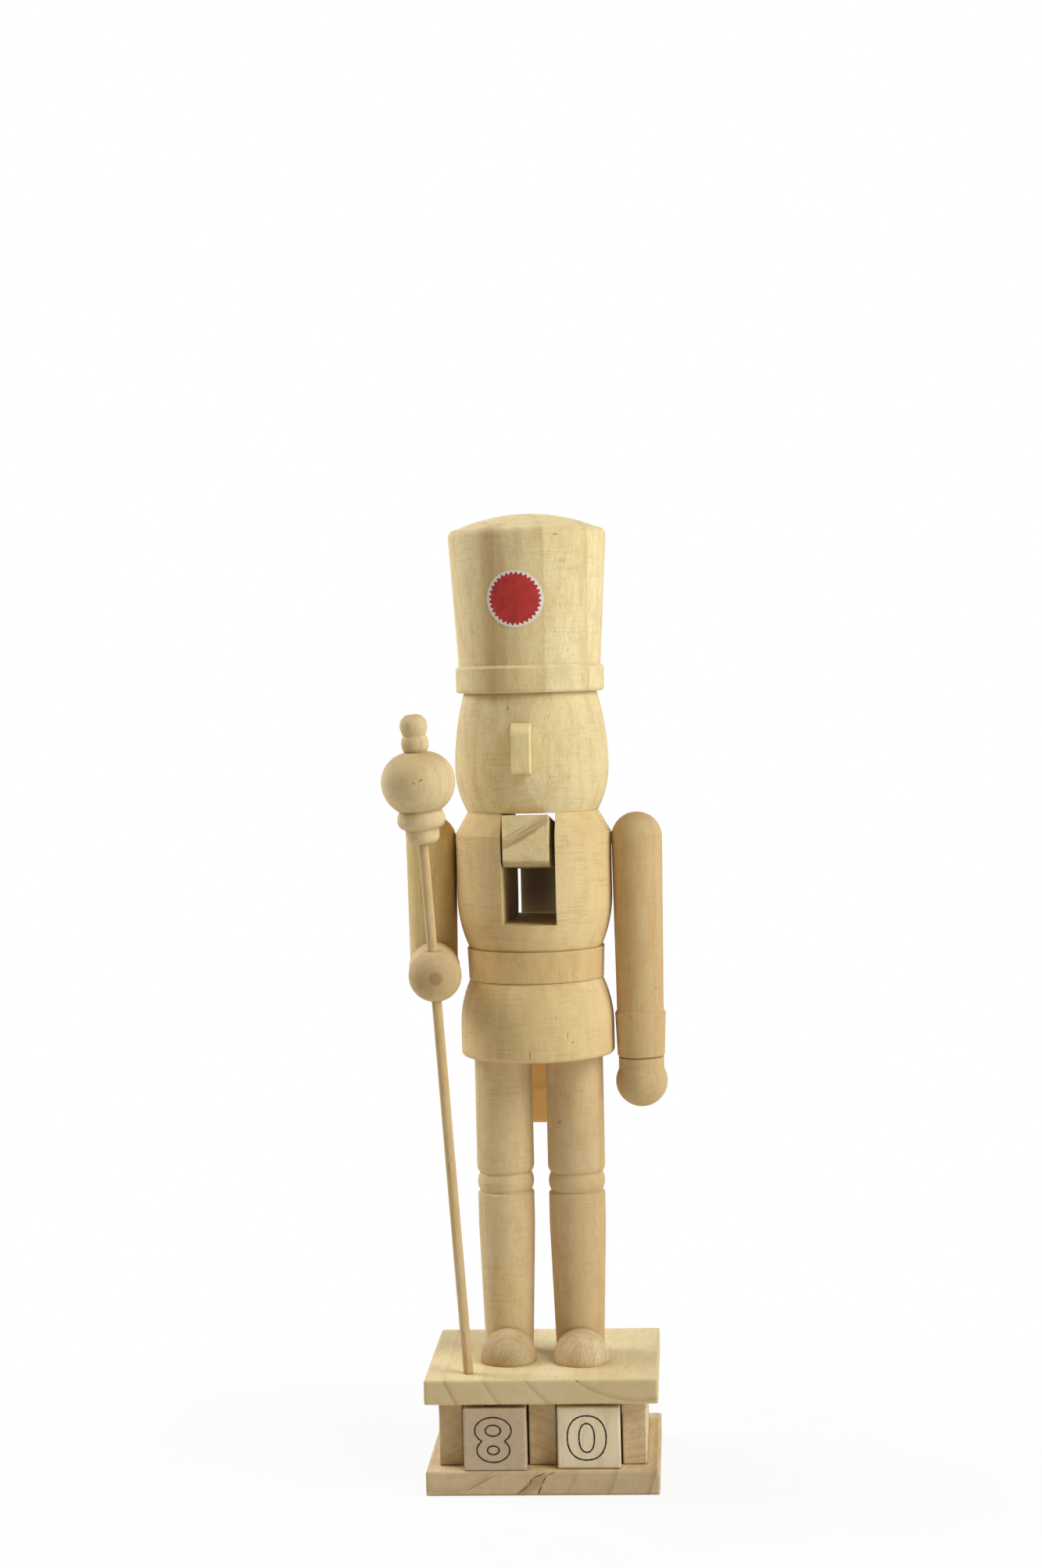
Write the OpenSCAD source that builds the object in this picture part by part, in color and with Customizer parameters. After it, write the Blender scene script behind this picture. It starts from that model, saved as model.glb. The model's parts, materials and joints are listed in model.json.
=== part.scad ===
// Unpainted wooden nutcracker on a base with two number blocks.
// Millimetres. The origin is the middle of the base's underside, +Z is up and the figure faces -Y.
// Left and right are the figure's own.

/* [Base] */
// Width of the two base boards
plate_w = 93; // [86:0.5:140]
// Depth of the two base boards, front to back
plate_d = 84; // [76:0.5:130]
// Thickness of each board
plate_t = 10; // [8:0.5:16]
// Rounding of the boards' edges
plate_edge = 1.2; // [0.5:0.1:2.5]
// Width of the two end rails
end_rail_w = 9.5; // [8.5:0.1:11]
// Width of the rail between the two bays
centre_rail_w = 11; // [9:0.1:13]
// How far the rails stand back from the boards' front and back edges
rail_inset = 8.4; // [3:0.1:14]
// Rounding of the rails' edges
rail_edge = 0.6; // [0.3:0.1:1.5]

/* [Number blocks] */
// Side of a number block
block_side = 25; // [22:0.5:26]
// Rounding of the blocks' edges
block_edge = 0.9; // [0.4:0.1:2]
// Gap at each side of a block in its bay
block_side_gap = 0.7; // [0.4:0.1:1.2]
// Gap over a block in its bay
block_top_gap = 1.5; // [0.6:0.1:3]
// How far the left block stands back from the boards' front edge
block_left_setback = 2.4; // [0.2:0.1:12]
// How far the right block stands back from the boards' front edge
block_right_setback = 0.5; // [0.2:0.1:12]
// Turn of the left block in its bay, towards the figure's right, in degrees
block_left_turn = 0.6; // [-1:0.1:1]
// Turn of the right block in its bay, towards the figure's right, in degrees
block_right_turn = 0; // [-1:0.1:1]

/* [Legs and feet] */
// Turn of the whole figure on its base, towards its right, in degrees
figure_turn = 3; // [-8:0.5:8]
// Distance between the two legs' axes
leg_spacing = 29.2; // [26:0.2:34]
// Height of a leg
leg_h = 124; // [112:0.5:150]
// Diameter of the thigh
thigh_d = 23.4; // [20:0.2:25]
// Diameter of the calf
calf_d = 23; // [20:0.2:25]
// Diameter at the ankle
ankle_d = 19.4; // [17:0.2:20]
// Height of the taper, from the ankle to the calf
ankle_taper_h = 54; // [40:0.5:62]
// Height of the lower knee groove over the leg's end
knee_z = 68; // [64:0.5:80]
// Distance between the two knee grooves
knee_bead_h = 7.5; // [6:0.5:10]
// Depth of the knee grooves
knee_groove = 1; // [0.5:0.1:2]
// Height of the rounding over the upper knee groove
knee_round_h = 3; // [1.5:0.1:4]
// Radius of a ball foot
foot_r = 11.3; // [10.5:0.1:13]
// Height of the foot's middle over the top board
foot_lift = 1.7; // [0:0.1:3]
// Distance of the foot's middle in front of the leg's axis
foot_forward = 11.8; // [8:0.1:13]
// Distance of the right foot's middle to the left of its leg's axis
right_foot_x = 0.8; // [-2:0.1:2]
// Distance of the left foot's middle to the left of its leg's axis
left_foot_x = 1.3; // [-2:0.1:2]
// Distance of the foot's sawn back in front of the leg's axis
foot_back = 3; // [1:0.1:5]

/* [Body] */
// Diameter of the skirt
skirt_d = 62.5; // [58:0.5:63]
// Height of the skirt's straight part
skirt_straight_h = 12.5; // [6:0.5:20]
// Height of the skirt's round shoulder, up to the waist
skirt_round_h = 19; // [14:0.5:26]
// Rounding of the hem
hem_round = 2; // [1:0.1:3]
// Diameter of the skirt's upper end, under the belt
skirt_top_d = 53.8; // [53.4:0.2:57]
// Diameter of the waist
waist_d = 53.2; // [48:0.2:53.4]
// Height of the waist, which is the belt's seat
waist_h = 12.5; // [9:0.5:18]
// Diameter of the chest's lower end, over the belt
chest_low_d = 54; // [53.4:0.2:57]
// Height of the chest's round lower part
chest_round_h = 21.5; // [16:0.5:30]
// Diameter of the chest
chest_d = 63.2; // [60:0.2:70]
// Height of the chest's straight part
chest_straight_h = 25; // [20:0.5:34]
// Height of the shoulders' slope
shoulder_h = 9; // [6:0.5:10]
// Diameter of the neck, where the head sits
neck_d = 53; // [48:0.5:56]
// Thickness of the belt's veneer
belt_t = 0.8; // [0.5:0.1:1.5]
// How much further the belt's upper edge stands out than its lower edge
belt_flare = 0.5; // [0:0.1:1]
// Gap between the belt's two ends, at the back
belt_seam = 0.4; // [0.2:0.1:1]

/* [Mouth] */
// Width of the mouth slot
mouth_w = 21.6; // [18:0.2:24]
// Height of the mouth slot
mouth_h = 44.5; // [38:0.5:50]
// Sideways place of the slot's middle
mouth_x = 0.7; // [-2:0.1:2]
// Gap at the left side of the jaw lever in the slot
jaw_left_gap = 2.4; // [0.4:0.1:3]
// Gap at the right side of the jaw lever in the slot
jaw_right_gap = 0.8; // [0.4:0.1:3]
// Height of the jaw's front
jaw_h = 20.5; // [16:0.5:23]
// Rounding of the jaw's lower front edge
jaw_round = 4; // [1:0.2:5]
// Gap between the closed jaw and the head
jaw_gap = 0.3; // [0.2:0.1:1.5]
// How far the jaw's front stands back from the chest's front
jaw_setback = 0.8; // [0:0.1:3]
// Slope of the jaw's top from the front to the pin, in degrees
jaw_slope = 9; // [2:0.5:9.5]
// Opening angle of the jaw, in degrees
jaw_open = 25; // [15:1:26]
// Spare angle between the open lever and the head, in degrees
jaw_spare = 1; // [0.5:0.5:3]
// Distance of the jaw pin behind the figure's axis
jaw_pin_y = 14; // [10:0.5:18]
// Distance of the jaw pin under the head
jaw_pin_drop = 12.5; // [12:0.5:14]
// Diameter of the jaw pin
jaw_pin_d = 4; // [3:0.1:5]
// How far the jaw pin's ends stand in from the chest
jaw_pin_inset = 0.5; // [0.2:0.1:2]
// Thickness of the lever's tail
tail_t = 9.5; // [7:0.5:13]
// Height of the tail's lower end over the top board
tail_end_h = 89.5; // [70:0.5:110]
// Rounding of the tail's lower end
tail_round = 3; // [1:0.2:3.4]
// Least flat between the tail's two rounded edges
tail_flat = 1; // [0.5:0.1:2]
// Gap between the tail and the figure's back
tail_gap = 0.8; // [0.4:0.1:3]
// Height of the lever's neck, over the bend into the tail
lever_neck = 10; // [8:0.5:12]

/* [Head] */
// Largest diameter of the head
head_d = 62.5; // [58:0.5:68]
// Diameter of the head's underside
head_bottom_d = 53.2; // [50:0.2:56]
// Diameter of the head's top
head_top_d = 54; // [50:0.2:56]
// Height from the head's underside to its widest ring
cheek_h = 18; // [14:0.5:24]
// Height from the widest ring to the head's top
brow_h = 30; // [24:0.5:38]
// Width of the nose
nose_w = 7.5; // [6:0.1:10]
// Height of the nose
nose_h = 20; // [15:0.5:24]
// Height of the nose's lower end over the head's underside
nose_z = 16; // [12:0.5:20]
// How far the nose stands out from the head
nose_out = 5.6; // [4:0.1:8]
// Rounding of the nose's upper front edge
nose_top_round = 5; // [2:0.1:8]
// Rounding of the nose's lower front edge
nose_low_round = 1.6; // [0.5:0.1:3]
// Turn of the nose from straight ahead, in degrees
nose_turn = 1; // [-8:0.5:8]

/* [Hat] */
// Diameter of the brim
brim_d = 60.2; // [58:0.2:68]
// Height of the brim
brim_h = 11; // [8:0.5:15]
// Slope at the brim's upper edge
brim_chamfer = 1.2; // [0.5:0.1:2]
// Rounding of the brim's lower edge
brim_round = 1.6; // [0.8:0.1:3]
// Diameter of the crown over the brim
crown_low_d = 57.6; // [54:0.1:58]
// Diameter of the crown under its rounded edge
crown_top_d = 64; // [58:0.2:70]
// Height of the crown's sloping side
crown_side_h = 52; // [40:0.5:56]
// Rounding of the crown's upper edge
crown_round = 3; // [1.5:0.1:5]
// Height of the whole crown at its middle
crown_h = 61; // [58:0.5:80]
// Diameter of the sticker
sticker_d = 22.8; // [16:0.2:26]
// Thickness of the sticker
sticker_t = 0.2; // [0.1:0.05:0.4]
// Height of the sticker's middle over the brim
sticker_z = 26.3; // [16:0.1:32]
// Turn of the sticker from straight ahead, in degrees
sticker_turn = 4; // [-20:0.5:20]

/* [Arms] */
// Diameter of the arms at the shoulder
arm_d = 20.6; // [17:0.2:21]
// Diameter of the arms over the cuff
arm_low_d = 19; // [16:0.2:20]
// Distance of the shoulder's dowel under the head
shoulder_drop = 11.7; // [10.2:0.1:14]
// Distance from the straight arm's dowel to the middle of its hand
arm_reach = 99.3; // [85:0.1:115]
// Gap between an arm and the chest
shoulder_gap = 0.2; // [0.2:0.1:1.5]
// Diameter of a ball hand
hand_d = 21; // [17:0.2:22]
// Diameter of the neck between the cuff and the hand
wrist_d = 18.4; // [13:0.2:18.6]
// Distance from the hand's middle to the cuff
cuff_z = 9.8; // [9:0.1:12]
// Length of a cuff
cuff_h = 19.2; // [14:0.2:24]
// Diameter of the cuff's upper end
cuff_top_d = 20.6; // [18:0.2:22]
// Diameter of the cuff's lower end
cuff_low_d = 19.2; // [17:0.2:20]
// Slope at the cuff's edges
cuff_chamfer = 1; // [0.4:0.1:1.5]
// Distance of the elbow under the shoulder's dowel
elbow_drop = 50.9; // [40:0.1:60]
// Distance from the elbow to the middle of the bent arm's hand
forearm_reach = 40.6; // [35:0.2:46]
// Inward turn of the bent arm, in degrees
forearm_turn = 8.6; // [0:0.2:12]

/* [Staff] */
// Diameter of the staff's rod
rod_d = 4; // [3:0.1:5]
// Distance of the rod's foot from the figure's middle, sideways
staff_foot_x = 27.7; // [24:0.1:38]
// Distance of the rod's foot in front of the figure's middle
staff_foot_y = 32.3; // [24:0.1:36]
// Distance that the staff passes in front of the hand's middle
staff_lead = 1.5; // [0:0.1:3]
// Length of the rod under the finial
rod_l = 214; // [195:0.5:240]
// Depth of the finial's bore
finial_bore = 20; // [12:0.5:30]
// Diameter of the finial's collar
collar_d = 13.3; // [10:0.1:16]
// Height of the finial's collar
collar_h = 5.7; // [4:0.1:9]
// Diameter of the finial's ring
ring_d = 19; // [16:0.2:24]
// Height of the finial's ring
ring_h = 7.2; // [5:0.1:10]
// Diameter of the neck between the ring and the onion
onion_neck_d = 16.6; // [14:0.1:18]
// Diameter of the finial's onion
onion_d = 29.2; // [24:0.2:34]
// Height from the onion's lower end to its widest ring
onion_low_h = 11.5; // [9:0.1:15]
// Height from the onion's widest ring to its upper end
onion_high_h = 11.6; // [9.5:0.1:15]
// Diameter of the two beads on the onion
bead_d = 10.8; // [9:0.1:13]
// Diameter of the necks under the two beads
bead_neck_d = 8.8; // [6:0.1:8.8]
// Height of the lower bead
bead_h = 6.6; // [5:0.1:10]
// Height from the upper bead's lower end to its widest ring
top_bead_low_h = 3.8; // [2.5:0.1:6]
// Height from the upper bead's widest ring to its flat end
top_bead_high_h = 4.4; // [3.5:0.1:6]
// Diameter of the upper bead's flat end
top_bead_flat_d = 4.2; // [2:0.1:6]

/* [Dowels and fits] */
// Diameter of the dowels in the rails
rail_dowel_d = 6; // [4:0.5:7]
// Depth of a rail dowel in a board
rail_dowel_plate = 6; // [4:0.5:7]
// Depth of a rail dowel in a rail
rail_dowel_rail = 9; // [6:0.5:12]
// Diameter of the dowels in the legs and the hat
dowel_d = 8; // [6:0.5:9]
// Depth of a leg's dowel in the top board
leg_dowel_plate = 6; // [4:0.5:7]
// Depth of a leg's dowel in the leg, and in the skirt
leg_dowel_depth = 14; // [8:0.5:20]
// Depth of the hat's dowel in the head, and in the hat
hat_dowel_depth = 12; // [8:0.5:16]
// Diameter of the dowels in the shoulders
shoulder_dowel_d = 5; // [4:0.5:8]
// Depth of a shoulder's dowel in the chest
shoulder_dowel_chest = 11; // [8:0.5:13]
// Depth of a shoulder's dowel in the arm
shoulder_dowel_arm = 10; // [7:0.5:12]
// Diameter of the small dowels in the neck and the elbow
small_dowel_d = 5; // [4:0.5:6]
// Distance of the neck dowels in front of the figure's axis
neck_dowel_forward = 7; // [4:0.5:9]
// Depth of a neck dowel in the chest
neck_dowel_chest = 5; // [4:0.5:6]
// Depth of a neck dowel in the head
neck_dowel_head = 9; // [6:0.5:12]
// Depth of the elbow's dowel in each half of the arm
elbow_dowel_depth = 6; // [4:0.5:7]
// Clearance all round a glued dowel or seat
glue_fit = 0.05; // [0.02:0.01:0.1]
// Clearance all round a pin or rod that turns or slides
running_fit = 0.08; // [0.05:0.01:0.1]
// Room at the end of a dowel's hole
hole_room = 0.5; // [0.3:0.1:1]
// Gap between the staff's foot and the top board
staff_foot_gap = 0.2; // [0.1:0.1:0.5]

/* [Hidden] */
$fn = 96;

pine = "#dcc391";
pale_pine = "#e6d2a6";
dowel_wood = "#cfae78";
veneer = "#d9b987";
steel = "#b9bcc0";
paper = "#f3efe6";

// Heights of the seats between the pieces, from the ground up
rail_h = block_side + block_top_gap;
top_plate_z = plate_t + rail_h;
leg_z = top_plate_z + plate_t;
skirt_z = leg_z + leg_h;
skirt_round_z = skirt_z + skirt_straight_h;
waist_z = skirt_round_z + skirt_round_h;
chest_z = waist_z + waist_h;
chest_full_z = chest_z + chest_round_h;
shoulder_z = chest_full_z + chest_straight_h;
head_z = shoulder_z + shoulder_h;
cheek_z = head_z + cheek_h;
brim_z = cheek_z + brow_h;
crown_z = brim_z + brim_h;
hat_top_z = crown_z + crown_h;

// The base
bay_w = block_side + 2 * block_side_gap;
bay_x = (centre_rail_w + bay_w) / 2;
end_rail_x = centre_rail_w / 2 + bay_w + end_rail_w / 2;
rail_l = plate_d - 2 * rail_inset;
rail_dowel_y = rail_l / 4;

// The legs
leg_x = leg_spacing / 2;
knee_r = calf_d / 2 - knee_groove;
knee_top_z = knee_z + knee_bead_h;
calf_top_z = knee_z - knee_groove;
thigh_z = knee_top_z + knee_round_h;

// The mouth and its lever
chest_r = chest_d / 2;
mouth_z = head_z - mouth_h;
lever_w = mouth_w - jaw_left_gap - jaw_right_gap;
jaw_front_y = jaw_setback - chest_r;
jaw_top_z = head_z - jaw_gap;
jaw_bottom_z = jaw_top_z - jaw_h;
jaw_pin_z = head_z - jaw_pin_drop;
jaw_crest_z = jaw_top_z - (jaw_pin_y - jaw_front_y) * tan(jaw_slope);
tail_y = max(chest_r, skirt_d / 2) + tail_gap;
tail_back_y = tail_y + tail_t;
back_slope = jaw_open + jaw_spare;
lever_back_z = jaw_crest_z - (tail_back_y - jaw_pin_y) * tan(back_slope);
lever_bend_z = jaw_crest_z - (tail_y - jaw_pin_y) * tan(back_slope) - lever_neck;
tail_end_z = leg_z + tail_end_h;
jaw_pin_l = 2 * (sqrt(chest_r * chest_r - pow(jaw_pin_y + jaw_pin_d / 2, 2)) - jaw_pin_inset);
tail_end_round = min(tail_round, (tail_t - tail_flat) / 2);

// The arms hang beside the chest and the skirt, and swing up past the head and the hat
arm_r = arm_d / 2;
shoulder_dowel_z = head_z - shoulder_drop;
raised_hand_z = shoulder_dowel_z + arm_reach;
arm_x = shoulder_gap + max(
    chest_d + arm_d,
    skirt_d + cuff_top_d,
    head_d + arm_d,
    brim_d + cuff_top_d,
    2 * crown_r(raised_hand_z - crown_z) + hand_d
) / 2;
shoulder_dowel_out = arm_x - chest_r - arm_r + shoulder_dowel_arm;
elbow_z = shoulder_dowel_z - elbow_drop;
hand_r = hand_d / 2;
cuff_end_z = cuff_z + cuff_h;

// The neck dowels stand in the cheeks beside the mouth slot
neck_dowel_x = (mouth_w / 2 + abs(mouth_x) + neck_d / 2) / 2;

// The staff runs from its foot on the top board through the bent arm's hand
fist = [
    -arm_x + forearm_reach * sin(forearm_turn),
    -forearm_reach * cos(forearm_turn),
    elbow_z
];
staff_foot = [-staff_foot_x, -staff_foot_y, leg_z + staff_foot_gap];
staff_run = fist + [0, -staff_lead, 0] - staff_foot;
staff_tilt = acos(staff_run[2] / norm(staff_run));
staff_heading = atan2(staff_run[1], staff_run[0]);

// The finial, from its collar up
ring_z = collar_h;
onion_z = ring_z + ring_h;
bead_z = onion_z + onion_low_h + onion_high_h;
bead_neck = bead_neck_d / 2;
top_bead_z = bead_z + bead_h;
top_bead_full_z = top_bead_z + top_bead_low_h;
top_bead_end_z = top_bead_full_z + top_bead_high_h;

// The crown's side, as its radius at a height over the brim
function crown_r(z) = (crown_low_d + (crown_top_d - crown_low_d) * z / crown_side_h) / 2;

// Half outline under an arc that stands upright at r_full, z_full and ends at r_end, z_end
module turned_arc(r_full, z_full, r_end, z_end) {
    fall = r_full - r_end;
    run = abs(z_end - z_full);
    radius = (fall * fall + run * run) / (2 * fall);
    low = min(z_full, z_end);
    intersection() {
        translate([r_full - radius, z_full])
            circle(radius);
        translate([0, low])
            square([r_full, run]);
    }
    translate([0, low])
        square([r_end, run]);
}

// Half outline of a bead, from its lower neck over its widest ring to its upper neck
module bead_outline(r_low, r_full, r_high, z_low, z_full, z_high) {
    turned_arc(r_full, z_full, r_low, z_low);
    turned_arc(r_full, z_full, r_high, z_high);
}

// Half outline of a straight or sloping band
module turned_cone(r_low, z_low, r_high, z_high) {
    polygon([[0, z_low], [r_low, z_low], [r_high, z_high], [0, z_high]]);
}

// Half outline of a disc whose lower edge is rounded
module turned_round(r, z_low, z_high, round) {
    translate([0, z_low + round])
        square([r, z_high - z_low - round]);
    translate([0, z_low])
        square([r - round, z_high - z_low]);
    translate([r - round, z_low + round])
        circle(round);
}

// Rectangle with rounded corners, on its own middle
module rounded_square(w, h, r) {
    square([w - 2 * r, h], center = true);
    square([w, h - 2 * r], center = true);
    for (x = [-1, 1])
        for (y = [-1, 1])
            translate([x * (w / 2 - r), y * (h / 2 - r)])
                circle(r, $fn = 32);
}

// Board with all its edges rounded, standing on its own middle
module rounded_board(w, d, h, r) {
    translate([0, 0, h / 2])
        intersection() {
            linear_extrude(h, center = true)
                rounded_square(w, d, r);
            rotate([90, 0, 0])
                linear_extrude(d, center = true)
                    rounded_square(w, h, r);
            rotate([90, 0, 90])
                linear_extrude(w, center = true)
                    rounded_square(d, h, r);
        }
}

// Upright peg from a depth under its seat to a height over it
module peg(d, under, over) {
    translate([0, 0, -under])
        cylinder(h = under + over, d = d);
}

// Hole for such a peg
module peg_hole(d, under, over) {
    peg(d + 2 * glue_fit, under + hole_room, over + hole_room);
}

// Turns what stands on the base with the whole figure
module on_figure() {
    rotate([0, 0, -figure_turn])
        children();
}

// Places of the pegs in the three rails
module at_rail_dowels(z) {
    for (x = [-end_rail_x, 0, end_rail_x])
        for (y = [-rail_dowel_y, rail_dowel_y])
            translate([x, y, z])
                children();
}

module at_legs(z) {
    for (x = [-leg_x, leg_x])
        translate([x, 0, z])
            children();
}

module at_neck_dowels() {
    for (x = [-neck_dowel_x, neck_dowel_x])
        translate([x, -neck_dowel_forward, head_z])
            children();
}

// Turns a peg's upright axis to point from the chest into an arm, side 1 left or -1 right
module at_shoulder(side) {
    translate([side * chest_r, 0, shoulder_dowel_z])
        rotate([0, side * 90, 0])
            children();
}

// Turns the upright axis along the staff, from its foot up
module on_staff() {
    translate(staff_foot)
        rotate([0, staff_tilt, staff_heading])
            children();
}

// The bent arm's own frame: the elbow is the origin and the forearm points to -Y
module at_elbow() {
    translate([-arm_x, 0, elbow_z])
        rotate([0, 0, forearm_turn])
            children();
}

// Half space above the elbow's mitre, which slopes down to the back
module above_mitre(gap) {
    side = 4 * elbow_drop;
    rotate([-45, 0, 0])
        translate([-side / 2, -side / 2, gap])
            cube(side);
}

module bottom_plate() {
    color(pine)
        difference() {
            rounded_board(plate_w, plate_d, plate_t, plate_edge);
            at_rail_dowels(plate_t)
                peg_hole(rail_dowel_d, rail_dowel_plate, 0);
        }
}

module top_plate() {
    color(pine)
        difference() {
            translate([0, 0, top_plate_z])
                rounded_board(plate_w, plate_d, plate_t, plate_edge);
            at_rail_dowels(top_plate_z)
                peg_hole(rail_dowel_d, 0, rail_dowel_plate);
            on_figure()
                at_legs(leg_z)
                    peg_hole(dowel_d, leg_dowel_plate, 0);
        }
}

module rail(x, w) {
    color(pine)
        difference() {
            translate([x, 0, plate_t])
                rounded_board(w, rail_l, rail_h, rail_edge);
            at_rail_dowels(plate_t)
                peg_hole(rail_dowel_d, 0, rail_dowel_rail);
            at_rail_dowels(top_plate_z)
                peg_hole(rail_dowel_d, rail_dowel_rail, 0);
        }
}

module left_rail() {
    rail(end_rail_x, end_rail_w);
}

module centre_rail() {
    rail(0, centre_rail_w);
}

module right_rail() {
    rail(-end_rail_x, end_rail_w);
}

module rail_dowels() {
    color(dowel_wood) {
        at_rail_dowels(plate_t)
            peg(rail_dowel_d, rail_dowel_plate, rail_dowel_rail);
        at_rail_dowels(top_plate_z)
            peg(rail_dowel_d, rail_dowel_rail, rail_dowel_plate);
    }
}

module number_block(x, setback, turn) {
    color(pale_pine)
        translate([x, setback + (block_side - plate_d) / 2, plate_t])
            rotate([0, 0, -turn])
                rounded_board(block_side, block_side, block_side, block_edge);
}

module number_block_left() {
    number_block(bay_x, block_left_setback, block_left_turn);
}

module number_block_right() {
    number_block(-bay_x, block_right_setback, block_right_turn);
}

// Half outline of a leg, from its lower end
module leg_outline() {
    turned_cone(ankle_d / 2, 0, calf_d / 2, ankle_taper_h);
    translate([0, ankle_taper_h])
        square([calf_d / 2, calf_top_z - ankle_taper_h]);
    turned_cone(calf_d / 2, calf_top_z, knee_r, knee_z);
    bead_outline(knee_r, calf_d / 2, knee_r, knee_z, knee_z + knee_bead_h / 2, knee_top_z);
    turned_arc(thigh_d / 2, thigh_z, knee_r, knee_top_z);
    translate([0, thigh_z])
        square([thigh_d / 2, leg_h - thigh_z]);
}

module leg(x) {
    color(pine) on_figure()
        difference() {
            translate([x, 0, leg_z])
                rotate_extrude()
                    leg_outline();
            at_legs(leg_z)
                peg_hole(dowel_d, 0, leg_dowel_depth);
            at_legs(skirt_z)
                peg_hole(dowel_d, leg_dowel_depth, 0);
        }
}

module leg_right() {
    leg(-leg_x);
}

module leg_left() {
    leg(leg_x);
}

module leg_dowels() {
    color(dowel_wood) on_figure() {
        at_legs(leg_z)
            peg(dowel_d, leg_dowel_plate, leg_dowel_depth);
        at_legs(skirt_z)
            peg(dowel_d, leg_dowel_depth, leg_dowel_depth);
    }
}

// Ball sawn flat underneath and behind, and hollowed to sit against the leg
module foot(x, shift) {
    color(pale_pine) on_figure()
        translate([x, 0, leg_z])
            difference() {
                translate([shift, -foot_forward, foot_lift])
                    sphere(foot_r);
                translate([-2 * foot_r, -4 * foot_r, -4 * foot_r])
                    cube([4 * foot_r, 8 * foot_r, 4 * foot_r]);
                translate([-2 * foot_r, -foot_back, -foot_r])
                    cube(4 * foot_r);
                cylinder(h = ankle_taper_h, r1 = ankle_d / 2 + glue_fit, r2 = calf_d / 2 + glue_fit);
            }
}

module foot_right() {
    foot(-leg_x, right_foot_x);
}

module foot_left() {
    foot(leg_x, left_foot_x);
}

// Half outline of the body: skirt, waist, chest and shoulders
module body_outline() {
    turned_round(skirt_d / 2, skirt_z, skirt_round_z, hem_round);
    turned_arc(skirt_d / 2, skirt_round_z, skirt_top_d / 2, waist_z);
    translate([0, waist_z])
        square([waist_d / 2, waist_h]);
    turned_arc(chest_r, chest_full_z, chest_low_d / 2, chest_z);
    translate([0, chest_full_z])
        square([chest_r, chest_straight_h]);
    turned_cone(chest_r, shoulder_z, neck_d / 2, head_z);
}

module body() {
    color(pine) on_figure()
        difference() {
            rotate_extrude()
                body_outline();
            translate([mouth_x - mouth_w / 2, -chest_d, mouth_z])
                cube([mouth_w, 2 * chest_d, 2 * mouth_h]);
            translate([0, jaw_pin_y, jaw_pin_z])
                rotate([0, 90, 0])
                    cylinder(h = 2 * chest_d, d = jaw_pin_d + 2 * glue_fit, center = true);
            at_legs(skirt_z)
                peg_hole(dowel_d, 0, leg_dowel_depth);
            at_neck_dowels()
                peg_hole(small_dowel_d, neck_dowel_chest, 0);
            for (side = [-1, 1])
                at_shoulder(side)
                    peg_hole(shoulder_dowel_d, shoulder_dowel_chest, shoulder_gap);
        }
}

module belt() {
    color(veneer) on_figure()
        translate([0, 0, waist_z])
            difference() {
                rotate_extrude()
                    translate([waist_d / 2 + glue_fit, 0])
                        polygon([[0, 0], [belt_t, 0], [belt_t + belt_flare, waist_h], [0, waist_h]]);
                translate([-belt_seam / 2, 0, -waist_h])
                    cube([belt_seam, waist_d, 3 * waist_h]);
            }
}

// Side outline of the lever: jaw, slope over the bend and tail
module lever_outline() {
    difference() {
        polygon([
            [jaw_front_y, jaw_top_z],
            [jaw_pin_y, jaw_crest_z],
            [tail_back_y, lever_back_z],
            [tail_back_y, tail_end_z],
            [tail_y, tail_end_z],
            [tail_y, lever_bend_z],
            [jaw_front_y, jaw_bottom_z]
        ]);
        lever_corner(jaw_front_y, jaw_bottom_z, 1, jaw_round);
        lever_corner(tail_y, tail_end_z, 1, tail_end_round);
        lever_corner(tail_back_y, tail_end_z, -1, tail_end_round);
        translate([jaw_pin_y, jaw_pin_z])
            circle(d = jaw_pin_d + 2 * running_fit);
    }
}

// What rounding takes off a lower corner whose piece lies on the given side
module lever_corner(y, z, side, r) {
    difference() {
        translate([y - r, z - r])
            square(2 * r);
        translate([y + side * r, z + r])
            circle(r);
        translate([y + side * r - r, z + r])
            square(2 * r);
        translate([y + side * r - (side > 0 ? 0 : 2 * r), z - r])
            square(2 * r);
    }
}

module jaw_lever() {
    color(pine) on_figure()
        translate([mouth_x - mouth_w / 2 + jaw_right_gap, 0, 0])
            rotate([90, 0, 90])
                linear_extrude(lever_w)
                    lever_outline();
}

module jaw_pin() {
    color(steel) on_figure()
        translate([0, jaw_pin_y, jaw_pin_z])
            rotate([0, 90, 0])
                cylinder(h = jaw_pin_l, d = jaw_pin_d, center = true);
}

// Half outline of the head, grown by a seat's clearance
module head_outline(fit) {
    bead_outline(head_bottom_d / 2 + fit, head_d / 2 + fit, head_top_d / 2 + fit, head_z, cheek_z, brim_z);
}

module head() {
    color(pine) on_figure()
        difference() {
            rotate_extrude()
                head_outline(0);
            at_neck_dowels()
                peg_hole(small_dowel_d, 0, neck_dowel_head);
            translate([0, 0, brim_z])
                peg_hole(dowel_d, hat_dowel_depth, 0);
        }
}

module neck_dowels() {
    color(dowel_wood) on_figure()
        at_neck_dowels()
            peg(small_dowel_d, neck_dowel_chest, neck_dowel_head);
}

// Side view of the nose, from the head's axis to its front, with its two front edges rounded
module nose_outline() {
    front = head_d / 2 + nose_out;
    difference() {
        translate([-front, 0])
            square([front, nose_h]);
        nose_corner(-front, nose_h, -1, nose_top_round);
        nose_corner(-front, 0, 1, nose_low_round);
    }
}

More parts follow.
